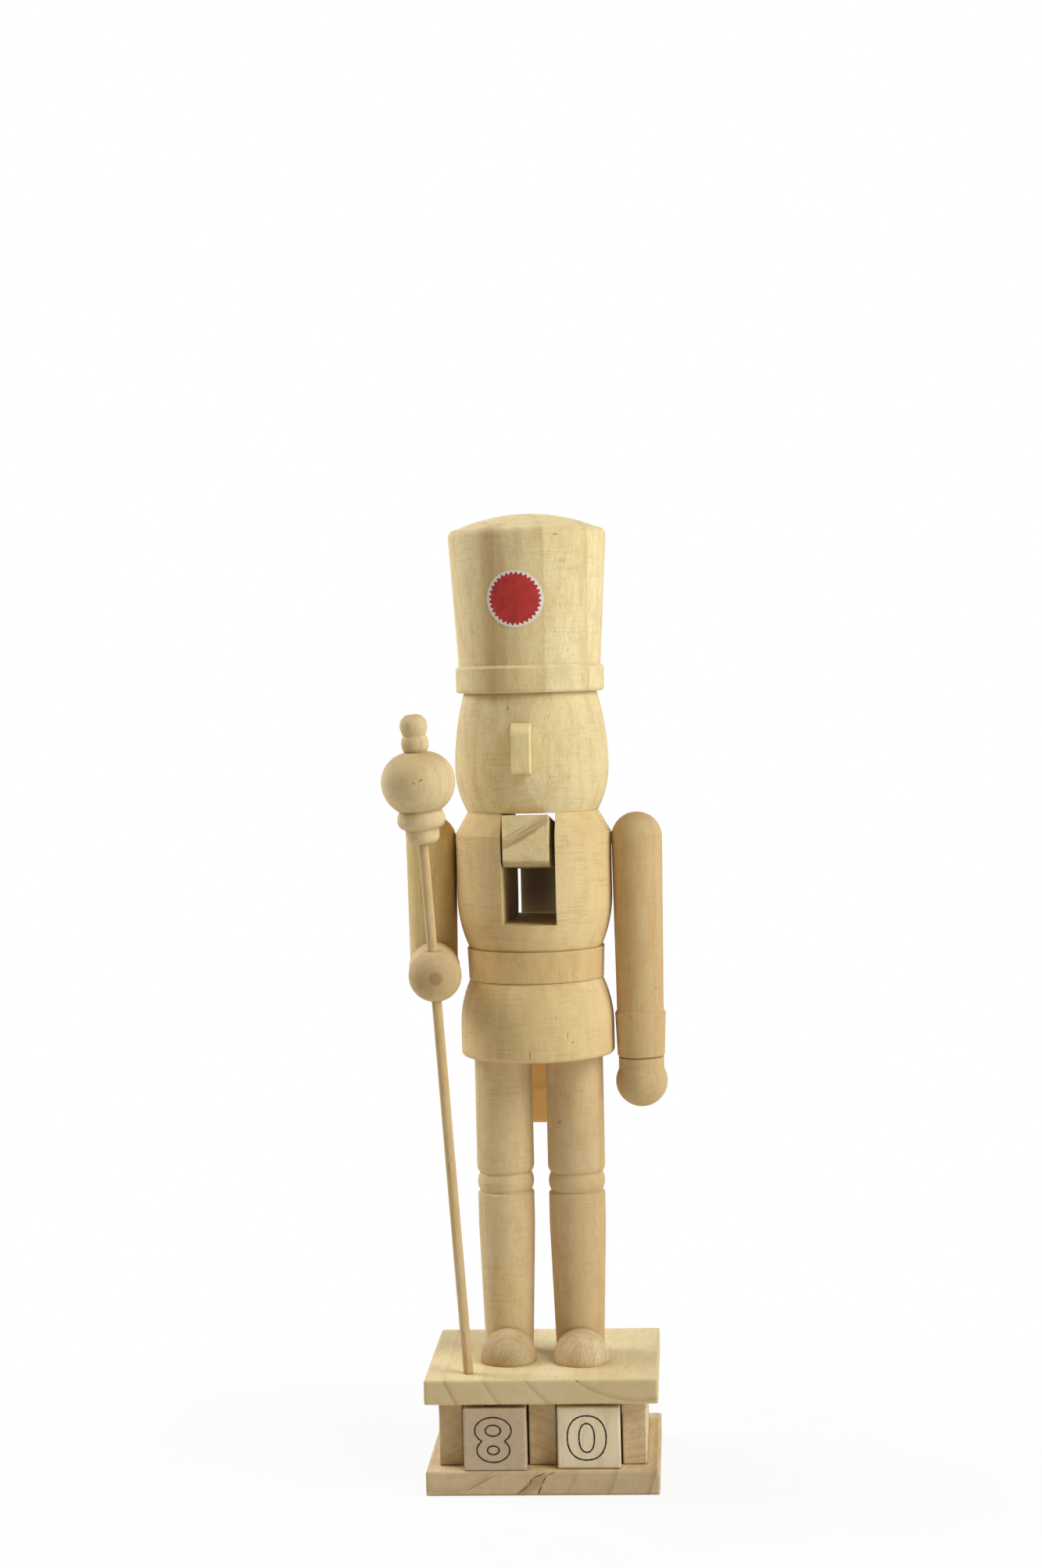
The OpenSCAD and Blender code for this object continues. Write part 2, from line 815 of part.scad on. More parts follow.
// What rounding takes off a front corner whose piece lies on the given side, 1 over it or -1 under it
module nose_corner(y, z, side, r) {
    difference() {
        translate([y - r, z - r])
            square(2 * r);
        translate([y + r, z + side * r])
            circle(r);
        translate([y + r, z - r])
            square(2 * r);
        translate([y - r, z + side * r - (side > 0 ? 0 : 2 * r)])
            square(2 * r);
    }
}

// Strip hollowed to sit on the head
module nose() {
    color(pale_pine) on_figure()
        rotate([0, 0, -nose_turn])
            difference() {
                translate([-nose_w / 2, 0, head_z + nose_z])
                    rotate([90, 0, 90])
                        linear_extrude(nose_w)
                            nose_outline();
                rotate_extrude()
                    head_outline(glue_fit);
            }
}

// Half outline of the hat: brim, sloping crown, rounded edge and domed top
module hat_outline() {
    turned_round(brim_d / 2, brim_z, crown_z - brim_chamfer, brim_round);
    turned_cone(brim_d / 2, crown_z - brim_chamfer, brim_d / 2 - brim_chamfer, crown_z);
    turned_cone(crown_low_d / 2, crown_z, crown_top_d / 2, crown_z + crown_side_h);
    edge_r = crown_top_d / 2 - crown_round;
    edge_z = crown_z + crown_side_h;
    translate([edge_r, edge_z])
        circle(crown_round);
    translate([0, edge_z])
        square([edge_r, crown_round]);
    dome_h = hat_top_z - edge_z - crown_round;
    dome_r = (edge_r * edge_r + dome_h * dome_h) / (2 * dome_h);
    intersection() {
        translate([0, hat_top_z - dome_r])
            circle(dome_r);
        translate([0, edge_z])
            square([edge_r, crown_h]);
    }
}

module hat() {
    color(pine) on_figure()
        difference() {
            rotate_extrude()
                hat_outline();
            translate([0, 0, brim_z])
                peg_hole(dowel_d, 0, hat_dowel_depth);
        }
}

module hat_dowel() {
    color(dowel_wood) on_figure()
        translate([0, 0, brim_z])
            peg(dowel_d, hat_dowel_depth, hat_dowel_depth);
}

// Disc cut from a thin shell that follows the crown's slope
module hat_sticker() {
    low = sticker_z - sticker_d;
    high = sticker_z + sticker_d;
    inner = glue_fit;
    outer = glue_fit + sticker_t;
    color(paper) on_figure()
        intersection() {
            translate([0, 0, crown_z])
                rotate_extrude()
                    polygon([
                        [crown_r(low) + inner, low],
                        [crown_r(low) + outer, low],
                        [crown_r(high) + outer, high],
                        [crown_r(high) + inner, high]
                    ]);
            rotate([90, 0, -sticker_turn])
                translate([0, crown_z + sticker_z, 0])
                    cylinder(h = crown_top_d, d = sticker_d);
        }
}

// Half outline of a hand and its cuff, measured from the hand's middle towards the arm
module hand_outline() {
    intersection() {
        circle(hand_r);
        translate([0, -hand_r])
            square([hand_r, 2 * hand_r]);
    }
    square([wrist_d / 2, cuff_z]);
    turned_cone(cuff_low_d / 2 - cuff_chamfer, cuff_z, cuff_low_d / 2, cuff_z + cuff_chamfer);
    turned_cone(cuff_low_d / 2, cuff_z + cuff_chamfer, cuff_top_d / 2, cuff_end_z - cuff_chamfer);
    turned_cone(cuff_top_d / 2, cuff_end_z - cuff_chamfer, arm_low_d / 2, cuff_end_z);
}

// Arm over the cuff with its domed shoulder, from the cuff's end to the shoulder's dowel
module shoulder_outline(low, high) {
    turned_cone(arm_low_d / 2, low, arm_r, high);
    intersection() {
        translate([0, high])
            circle(arm_r);
        translate([0, high])
            square(arm_r);
    }
}

module arm_left() {
    color(pine) on_figure()
        difference() {
            translate([arm_x, 0, shoulder_dowel_z - arm_reach])
                rotate_extrude() {
                    hand_outline();
                    shoulder_outline(cuff_end_z, arm_reach);
                }
            at_shoulder(1)
                peg(shoulder_dowel_d + 2 * running_fit, 0, shoulder_dowel_out + hole_room);
        }
}

module shoulder_dowel(side) {
    color(dowel_wood) on_figure()
        at_shoulder(side)
            peg(shoulder_dowel_d, shoulder_dowel_chest, shoulder_dowel_out);
}

module shoulder_dowel_left() {
    shoulder_dowel(1);
}

module shoulder_dowel_right() {
    shoulder_dowel(-1);
}

// Peg hole across the elbow's mitre
module elbow_hole() {
    rotate([-45, 0, 0])
        peg_hole(small_dowel_d, elbow_dowel_depth, elbow_dowel_depth);
}

module upper_arm_right() {
    color(pine) on_figure()
        difference() {
            at_elbow()
                difference() {
                    intersection() {
                        rotate_extrude()
                            shoulder_outline(-arm_d, elbow_drop);
                        above_mitre(0);
                    }
                    elbow_hole();
                }
            at_shoulder(-1)
                peg_hole(shoulder_dowel_d, 0, shoulder_dowel_out);
        }
}

module forearm_right() {
    color(pine) on_figure()
        difference() {
            at_elbow()
                difference() {
                    translate([0, -forearm_reach, 0])
                        rotate([-90, 0, 0])
                            rotate_extrude() {
                                hand_outline();
                                translate([0, cuff_end_z])
                                    square([arm_low_d / 2, forearm_reach + arm_d - cuff_end_z]);
                            }
                    above_mitre(-glue_fit);
                    elbow_hole();
                }
            on_staff()
                cylinder(h = rod_l, d = rod_d + 2 * running_fit);
        }
}

module elbow_dowel() {
    color(dowel_wood) on_figure()
        at_elbow()
            rotate([-45, 0, 0])
                peg(small_dowel_d, elbow_dowel_depth, elbow_dowel_depth);
}

module staff_rod() {
    color(dowel_wood) on_figure()
        on_staff()
            cylinder(h = rod_l + finial_bore, d = rod_d);
}

// Half outline of the finial, from its collar up
module finial_outline() {
    turned_round(collar_d / 2, 0, collar_h, collar_h / 2);
    bead_outline(collar_d / 2, ring_d / 2, onion_neck_d / 2, ring_z, ring_z + ring_h / 2, onion_z);
    bead_outline(onion_neck_d / 2, onion_d / 2, bead_neck, onion_z, onion_z + onion_low_h, bead_z);
    bead_outline(bead_neck, bead_d / 2, bead_neck, bead_z, bead_z + bead_h / 2, top_bead_z);
    bead_outline(bead_neck, bead_d / 2, top_bead_flat_d / 2, top_bead_z, top_bead_full_z, top_bead_end_z);
}

module staff_finial() {
    color(pale_pine) on_figure()
        on_staff()
            translate([0, 0, rod_l])
                difference() {
                    rotate_extrude()
                        finial_outline();
                    peg_hole(rod_d, 0, finial_bore);
                }
}

bottom_plate();
top_plate();
left_rail();
centre_rail();
right_rail();
rail_dowels();
number_block_left();
number_block_right();
leg_right();
leg_left();
foot_right();
foot_left();
leg_dowels();
body();
belt();
jaw_lever();
jaw_pin();
head();
neck_dowels();
nose();
hat();
hat_dowel();
hat_sticker();
arm_left();
shoulder_dowel_left();
upper_arm_right();
forearm_right();
shoulder_dowel_right();
elbow_dowel();
staff_rod();
staff_finial();
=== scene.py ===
import json
import math

import bmesh
import bpy
import numpy as np
from mathutils import Matrix, Vector

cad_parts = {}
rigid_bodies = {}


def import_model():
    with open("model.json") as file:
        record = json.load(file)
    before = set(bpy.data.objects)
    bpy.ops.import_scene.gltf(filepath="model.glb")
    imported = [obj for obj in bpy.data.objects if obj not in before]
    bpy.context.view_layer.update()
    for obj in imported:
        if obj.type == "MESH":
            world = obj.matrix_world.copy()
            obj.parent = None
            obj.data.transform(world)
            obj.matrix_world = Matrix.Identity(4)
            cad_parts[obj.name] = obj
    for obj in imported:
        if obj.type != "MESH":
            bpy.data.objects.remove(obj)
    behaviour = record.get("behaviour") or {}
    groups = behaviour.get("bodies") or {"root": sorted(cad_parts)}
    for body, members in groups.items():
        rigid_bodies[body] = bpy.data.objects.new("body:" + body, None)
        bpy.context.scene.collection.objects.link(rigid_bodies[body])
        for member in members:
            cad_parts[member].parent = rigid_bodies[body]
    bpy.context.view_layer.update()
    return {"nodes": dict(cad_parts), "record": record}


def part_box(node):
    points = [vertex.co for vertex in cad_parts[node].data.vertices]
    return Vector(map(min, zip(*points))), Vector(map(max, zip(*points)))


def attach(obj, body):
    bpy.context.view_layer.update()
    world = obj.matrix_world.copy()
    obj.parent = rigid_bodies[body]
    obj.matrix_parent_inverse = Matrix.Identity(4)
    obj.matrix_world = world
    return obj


for leftOver in list(bpy.data.objects):
    bpy.data.objects.remove(leftOver)

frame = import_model()
print("loaded", len(frame["nodes"]), "turned and sawn pieces")


def tint(code):
    # a colour as given for the screen, made linear for the shader
    parts = [int(code[i:i + 2], 16) / 255 for i in (1, 3, 5)]
    return tuple(c / 12.92 if c <= 0.04045 else ((c + 0.055) / 1.055) ** 2.4 for c in parts) + (1.0,)


class Wire:
    # one output socket: sums on it add Math nodes, and node() adds anything else
    def __init__(self, tree, socket=None):
        self.tree = tree
        self.socket = socket

    def node(self, kind, settings=None, inputs=None, out=0):
        made = self.tree.nodes.new(kind)
        for name, value in (settings or {}).items():
            if name == "stops":
                ramp = made.color_ramp
                while len(ramp.elements) < len(value):
                    ramp.elements.new(1.0)
                for stop, (place, grey) in zip(ramp.elements, value):
                    stop.position = place
                    stop.color = (grey, grey, grey, 1.0)
            else:
                setattr(made, name, value)
        for name, value in (inputs or {}).items():
            if isinstance(value, Wire):
                self.tree.links.new(value.socket, made.inputs[name])
            else:
                made.inputs[name].default_value = value
        return Wire(self.tree, made.outputs[out]) if len(made.outputs) else made

    def maths(self, operation, *values):
        return self.node("ShaderNodeMath", {"operation": operation}, dict(enumerate(values)))

    def __add__(self, other):
        return self.maths("ADD", self, other)

    def __radd__(self, other):
        return self.maths("ADD", other, self)

    def __sub__(self, other):
        return self.maths("SUBTRACT", self, other)

    def __rsub__(self, other):
        return self.maths("SUBTRACT", other, self)

    def __mul__(self, other):
        return self.maths("MULTIPLY", self, other)

    def __rmul__(self, other):
        return self.maths("MULTIPLY", other, self)

    def __truediv__(self, other):
        return self.maths("DIVIDE", self, other)

    def __pow__(self, other):
        return self.maths("POWER", self, other)

    def ease(self, low, high):
        # smooth step from 0 at low to 1 at high
        return self.node("ShaderNodeMapRange", {"interpolation_type": "SMOOTHSTEP"},
                         {"Value": self, "From Min": low, "From Max": high})

    def mixed(self, first, second, how="MIX"):
        # two colours, with this socket as the share of the second
        return self.node("ShaderNodeMix", {"data_type": "RGBA", "blend_type": how},
                         {0: self, 6: first, 7: second}, out=2)

    def vector(self, operation, *values, out=0):
        return self.node("ShaderNodeVectorMath", {"operation": operation}, dict(enumerate(values)), out=out)


def blankFinish(name):
    finish = bpy.data.materials.new(name)
    finish.use_nodes = True
    finish.node_tree.nodes.clear()
    return finish, Wire(finish.node_tree)


def closeFinish(start, inputs):
    surface = start.node("ShaderNodeBsdfPrincipled", {}, inputs)
    start.node("ShaderNodeOutputMaterial", {}, {"Surface": surface})


def turnTo(direction):
    # rotation that takes Z to a direction
    return Vector(direction).normalized().to_track_quat("Z", "Y").to_euler()


def metres(point):
    return tuple(c / 1000 for c in point)


# bare pine as it comes off the lathe, lengths in millimetres
bareWood = {
    "pale": "#e2cc9b",
    "warm": "#d9bb82",
    "late": "#b58a52",
    "pore": "#8a6537",
    "endTint": "#c2a274",
    "grain": (0, 0, 1),
    "pith": (0, 90, 0),
    "line": (0, -30, 0),      # a point that one dark ring line passes
    "ring": 15.0,             # from one ring line to the next
    "waver": 5.0,
    "ringDepth": 0.5,
    "lateFrom": 0.62,         # share of a ring where it starts to darken
    "lateRise": 0.42,         # how dark it is half way from there
    "lateEdge": 0.045,        # share of a ring that its outer edge fades over
    "sideRings": 1.0,         # how much of the rings' depth shows along the grain
    "fibre": 0.22,
    "streaks": 0.14,
    "pores": 0.65,
    "patches": 0.55,
    "blotch": 0.2,
    "endDepth": 0.45,
    "lathe": 0.10,            # turning lines, 0 on sawn pieces
    "heart": 0.0,             # radius of a dark heart round the pith
    "heartDepth": 0.6,
    "heartTone": "#996f45",
    "creaseShade": 0.5,             # painted shade in joints and grooves
    "creaseShadeReach": 1.6,
    "creaseShadeTone": "#5f4426",
    "edges": 0.3,             # paler along corners: partly rubbed wear, partly a painted highlight
    "edgeRound": 0.4,
    "edgeWearAndHighlightTone": "#f6e9c6",
    "paintedShadeBox": None,           # box where shade is painted inside a slot: low corner, high corner
    "paintedShadeTone": "#a8957c",
    "paintedShadeFacing": None,     # if given, only the faces that look this way get the painted shade there
    "rough": 0.68,
    "relief": 0.35,
    "seed": 0.0,
    "marks": [],              # single flaws, and patches of painted shade and light: place, direction, half width and length, depth, tone
    "markTone": "#5d4023",
}


def woodFinish(name, piece):
    look = {**bareWood, **piece}
    finish, start = blankFinish(name)
    place = start.node("ShaderNodeTexCoord", out="Object")
    facing = start.node("ShaderNodeTexCoord", out="Normal")
    along = Vector(look["grain"]).normalized()
    wood = start.node("ShaderNodeMapping", {"vector_type": "TEXTURE"},
                      {"Vector": place, "Location": metres(look["pith"]),
                       "Rotation": turnTo(along), "Scale": (0.001, 0.001, 0.001)})

    def grainNoise(across, lengthwise, detail=2.0, sort=0.0):
        stretched = wood.vector("MULTIPLY_ADD", wood, (across, across, lengthwise),
                                (look["seed"] + sort, look["seed"] - sort, sort))
        return start.node("ShaderNodeTexNoise", {}, {"Vector": stretched, "Scale": 1.0, "Detail": detail,
                                                     "Roughness": 0.55})

    # year rings round the heart of the tree
    x = start.node("ShaderNodeSeparateXYZ", {}, {"Vector": wood}, out=0)
    y = start.node("ShaderNodeSeparateXYZ", {}, {"Vector": wood}, out=1)
    radius = (x * x + y * y) ** 0.5
    offset = Vector(look["line"]) - Vector(look["pith"])
    lineRadius = (offset - offset.dot(along) * along).length
    wander = (grainNoise(0.035, 0.006, 1.0) - 0.5) * look["waver"] + (grainNoise(0.4, 0.03, 2.0, 3.0) - 0.5) * 0.7
    rings = (radius - lineRadius + wander) / look["ring"] + 40.0
    within = rings.maths("FRACT", rings)
    yearly = start.node("ShaderNodeTexWhiteNoise", {"noise_dimensions": "1D"}, {"W": rings.maths("FLOOR", rings)})
    dark = look["lateFrom"]
    profile = start.node("ShaderNodeValToRGB",
                         {"stops": [(0.0, 0.0), (dark, 0.10), (0.5 * (dark + 1 - look["lateEdge"]), look["lateRise"]),
                                    (1 - look["lateEdge"], 1.0), (1.0, 0.0)]},
                         {"Fac": within})
    late = profile * (0.45 + 0.55 * yearly)

    # long fibres, short pores, broad clouds of colour and the rings that the gouge leaves
    fibre = grainNoise(5.0, 0.10, 3.0, 7.0)
    fine = grainNoise(16.0, 0.5, 2.0, 11.0)
    pore = grainNoise(2.6, 0.22, 1.0, 17.0).ease(0.65, 0.73) * grainNoise(0.11, 0.03, 1.0, 23.0).ease(0.42, 0.62)
    cloud = grainNoise(0.06, 0.016, 2.0, 29.0).ease(0.32, 0.68)
    blotch = grainNoise(0.22, 0.07, 3.0, 31.0).ease(0.42, 0.7)
    streak = grainNoise(1.7, 0.28, 2.0, 43.0)
    gouge = grainNoise(0.1, 1.3, 4.0, 41.0).ease(0.47, 0.68) * grainNoise(0.06, 0.1, 2.0, 37.0).ease(0.3, 0.62)
    cross = facing.vector("DOT_PRODUCT", facing, tuple(along), out=1)
    ends = cross.maths("ABSOLUTE", cross).ease(0.45, 0.95)

    colour = (cloud * look["patches"]).mixed(tint(look["pale"]), tint(look["warm"]))
    shown = look["sideRings"] + ends * (1 - look["sideRings"])
    colour = (late * shown * look["ringDepth"]).mixed(colour, tint(look["late"]))
    colour = (fibre.ease(0.42, 0.72) * look["fibre"]).mixed(colour, tint(look["late"]))
    colour = (fine.ease(0.5, 0.75) * (0.5 * look["fibre"])).mixed(colour, tint(look["warm"]))
    colour = (streak.ease(0.45, 0.72) * look["streaks"]).mixed(colour, tint(look["late"]))
    colour = (blotch * look["blotch"]).mixed(colour, tint(look["late"]))
    colour = (gouge * look["lathe"]).mixed(colour, tint(look["late"]))
    colour = (ends * look["endDepth"]).mixed(colour, tint(look["endTint"]))
    colour = (pore * look["pores"]).mixed(colour, tint(look["pore"]))
    if look["heart"]:
        core = 1 - (radius + wander * 0.08).ease(0.45 * look["heart"], look["heart"])
        colour = (core * look["heartDepth"]).mixed(colour, tint(look["heartTone"]))
    # painted shade inside the mouth and the lever's slot, where little light reaches
    if look["paintedShadeBox"]:
        low, high = (Vector(c) for c in look["paintedShadeBox"])
        room = start.node("ShaderNodeMapping", {"vector_type": "TEXTURE"},
                          {"Vector": place, "Location": metres((low + high) / 2), "Scale": metres((high - low) / 2)})
        away = room.vector("ABSOLUTE", room)
        sides = [start.node("ShaderNodeSeparateXYZ", {}, {"Vector": away}, out=k) for k in range(3)]
        inside = 1 - sides[0].maths("MAXIMUM", sides[0].maths("MAXIMUM", sides[0], sides[1]), sides[2]).ease(0.7, 1.0)
        if look["paintedShadeFacing"]:
            inside = inside * facing.vector("DOT_PRODUCT", facing, look["paintedShadeFacing"], out=1).ease(0.2, 0.8)
        colour = (inside * (0.85 + 0.15 * fibre)).mixed(colour, tint(look["paintedShadeTone"]))
    # how open each point is: the painted shade in creases and the pale edges both follow it
    openness = start.node("ShaderNodeAmbientOcclusion", {"samples": 4}, {"Distance": look["creaseShadeReach"] / 1000}, out="AO")
    softEdge = start.node("ShaderNodeBevel", {"samples": 4}, {"Radius": look["edgeRound"] / 1000})
    sharp = start.node("ShaderNodeNewGeometry", out="Normal")
    # paler along corners: partly rubbed wear, partly a painted highlight where edges catch the light
    wearAndHighlight = (1 - softEdge.vector("DOT_PRODUCT", softEdge, sharp, out=1)).ease(0.01, 0.12) * openness
    colour = (wearAndHighlight * look["edges"]).mixed(colour, tint(look["edgeWearAndHighlightTone"]))
    # painted shade: darker in creases, joints and grooves
    colour = ((1 - openness) ** 1.4 * look["creaseShade"]).mixed(colour, tint(look["creaseShadeTone"]))
    height = fibre * 0.5 + fine * 0.3 + streak * 0.4 - gouge * (2.0 * look["lathe"]) - pore * 0.7
    # single flaws, and patches of painted shade and light on the jaw and hat
    for flawOrPaintedLight in look["marks"]:
        spot = start.node("ShaderNodeMapping", {"vector_type": "TEXTURE"},
                          {"Vector": place, "Location": metres(flawOrPaintedLight["at"]), "Rotation": turnTo(flawOrPaintedLight["along"]),
                           "Scale": metres((flawOrPaintedLight["half"][0], flawOrPaintedLight["half"][0], flawOrPaintedLight["half"][1]))})
        reach = spot.vector("LENGTH", spot, out=1) + (fine - 0.5) * 0.6
        flawOrPaintedLightShare = 1 - reach.ease(0.55, 1.0)
        colour = (flawOrPaintedLightShare * flawOrPaintedLight["depth"]).mixed(colour, tint(flawOrPaintedLight.get("tone", look["markTone"])))
        height = height - flawOrPaintedLightShare * 1.5
    normal = start.node("ShaderNodeBump", {}, {"Strength": look["relief"], "Distance": 0.00012, "Height": height,
                                               "Normal": softEdge})
    rough = look["rough"] + (fibre - 0.5) * 0.12 - late * 0.06 + ends * 0.06
    closeFinish(start, {"Base Color": colour, "Roughness": rough, "Normal": normal, "Specular IOR Level": 0.15})
    return finish


def dress(finish, *nodes):
    for node in nodes:
        slots = frame["nodes"][node].data.materials
        slots.clear()
        slots.append(finish)


# base: two boards with the grain running front to back, so their fronts show the rings

bottomBoard = {"pale": "#e3cfa8", "warm": "#dabf8d", "late": "#a0763f", "endTint": "#c4ad8b", "grain": (0, 1, 0),
               "pith": (-39.7, 0, 30), "line": (-39.7, 0, 0.8), "ring": 14.6, "waver": 2.0, "ringDepth": 0.8,
               "lateFrom": 0.8, "sideRings": 0.5, "lathe": 0.0, "blotch": 0.25, "streaks": 0.25, "seed": 3.1,
               "marks": [{"at": (-3.6, -42, 4.8), "along": (1, 0, 0.75), "half": (2.6, 7.5), "depth": 0.35,
                          "tone": "#8d6b40"},
                         {"at": (-24.6, -42, 5.3), "along": (15.8, 0, 8.4), "half": (0.32, 9.0), "depth": 0.6,
                          "tone": "#7a5a33"},
                         {"at": (-7.9, -42, 2.5), "along": (5.5, 0, 4.3), "half": (0.34, 3.9), "depth": 0.85},
                         {"at": (-4.7, -42, 5.8), "along": (0.8, 0, 2.4), "half": (0.34, 1.8), "depth": 0.85},
                         {"at": (-1.4, -42, 8.2), "along": (5.8, 0, 2.4), "half": (0.34, 3.6), "depth": 0.8},
                         {"at": (-1.1, -42, 2.5), "along": (1.6, 0, 4.2), "half": (0.4, 2.7), "depth": 0.9},
                         {"at": (0.6, -42, 6.4), "along": (1.8, 0, 3.6), "half": (0.34, 2.4), "depth": 0.85},
                         {"at": (3.9, -42, 9.1), "along": (4.8, 0, 1.8), "half": (0.3, 2.9), "depth": 0.75}]}
dress(woodFinish("bottomBoardPine", bottomBoard), "bottom_plate")

topBoard = {"pale": "#ead9a9", "warm": "#e1c78d", "late": "#966c38", "endTint": "#c9b188", "grain": (0, 1, 0),
            "pith": (39.4, 0, 82), "line": (39.4, 0, 37.4), "ring": 13.9, "waver": 1.6, "ringDepth": 0.95,
            "lateFrom": 0.82, "lateEdge": 0.03, "sideRings": 0.2, "lathe": 0.0, "fibre": 0.14, "blotch": 0.1,
            "streaks": 0.1, "pores": 0.3, "patches": 0.4, "seed": 5.7,
            "marks": [{"at": (14.6, -42, 46), "along": (1, 0, 0), "half": (0.4, 0.7), "depth": 0.8}]}
dress(woodFinish("topBoardPine", topBoard), "top_plate")

rightRail = {"pale": "#f7e8ba", "warm": "#f1d69d", "endTint": "#c5a881", "grain": (0, 1, 0), "pith": (-60, 0, 60),
             "line": (-36, 0, 20), "ring": 6.5, "endDepth": 0.6, "blotch": 0.45, "streaks": 0.4, "pores": 1.0,
             "lathe": 0.0, "seed": 8.3}
dress(woodFinish("rightRailPine", rightRail), "right_rail")

centreRail = {"pale": "#f2e1b9", "warm": "#e9cf9c", "endTint": "#c8ad81", "grain": (0, 1, 0), "pith": (-14, 0, -12),
              "line": (0, 0, 30), "ring": 5.6, "ringDepth": 0.7, "endDepth": 0.5, "blotch": 0.35, "streaks": 0.35,
              "lathe": 0.0, "seed": 1.9}
dress(woodFinish("centreRailPine", centreRail), "centre_rail")

leftRail = {"pale": "#f7e7bd", "warm": "#f1d49f", "endTint": "#cfb28c", "grain": (0, 1, 0), "pith": (30, 0, 60),
            "line": (36, 0, 27), "ring": 3.6, "waver": 2.0, "ringDepth": 0.75, "endDepth": 0.5, "blotch": 0.35,
            "streaks": 0.4, "pores": 0.9, "lathe": 0.0, "seed": 4.4}
dress(woodFinish("leftRailPine", leftRail), "left_rail")

print("base boards and rails done")

# number blocks: the right one is cut across the grain, the left one along it

rightBlock = {"grain": (0.12, 1, 0.05), "pith": (-40, 0, 60), "line": (-18, 0, 22), "ring": 7.0, "pale": "#d1c0a5",
              "warm": "#c6b194", "endTint": "#c2ae93", "endDepth": 0.5, "ringDepth": 0.32, "pores": 0.8,
              "streaks": 0.7, "blotch": 0.32, "lathe": 0.0, "seed": 6.6}
dress(woodFinish("rightBlockWood", rightBlock), "number_block_right")

leftBlock = {"grain": (0, 0.03, 1), "pith": (60, -90, 0), "line": (20, -40, 20), "ring": 9.0, "pale": "#f4e8c7",
             "warm": "#efdab0", "ringDepth": 0.22, "fibre": 0.14, "pores": 0.25, "streaks": 0.08,
             "lathe": 0.0, "seed": 2.2}
dress(woodFinish("leftBlockWood", leftBlock), "number_block_left")

# outline digits about 15.5 by 18 mm: 0 is two plain ovals, and the others are the outlines of a flat nib's strokes
inkedDigits = {
    "lineWidth": 0.64,
    "inkHeight": 0.05,
    "bevel": 0.8,                                 # share of the line's width that is flat on top
    "ovals": {0: ((7.7, 8.85), (3.05, 5.75))},    # half sizes, outer and inner
    "ovalBend": 0.88,                             # under 1, the ovals' sides are straighter
    "ovalPoints": 96,
    "nib": (2.1, 1.55),                           # half sizes
    "gridHalf": (10, 12),
    "cell": 0.16,
    "strokes": {
        1: [("line", 0.9, -7.4, 0.9, 7.4), ("line", 0.9, 7.2, -3.2, 4.4)],
        2: [("arc", 0, 3.0, 4.9, 4.4, 165, -25), ("line", 4.4, 1.1, -4.7, -7.2), ("line", -4.9, -7.4, 5.2, -7.4)],
        3: [("arc", -0.2, 3.9, 4.5, 3.5, 150, -85), ("arc", -0.2, -3.6, 5.1, 3.9, 85, -150)],
        4: [("line", 2.4, -7.4, 2.4, 7.2), ("line", 2.2, 7.2, -5.4, -3.0), ("line", -5.4, -3.4, 5.8, -3.4)],
        5: [("line", 4.8, 7.4, -3.6, 7.4), ("line", -3.6, 7.4, -4.2, 0.9), ("arc", -0.1, -2.7, 5.2, 4.7, 130, -150)],
        6: [("arc", 0, -3.1, 5.2, 4.4, 0, 360), ("arc", 1.0, -2.6, 6.2, 10.1, 66, 180)],
        7: [("line", -5.3, 7.4, 5.3, 7.4), ("line", 5.1, 7.2, -1.6, -7.4)],
        8: [("arc", 0, -3.7, 5.15, 3.75, 0, 360), ("arc", 0, 4.15, 4.43, 3.3, 0, 360)],
    },
}


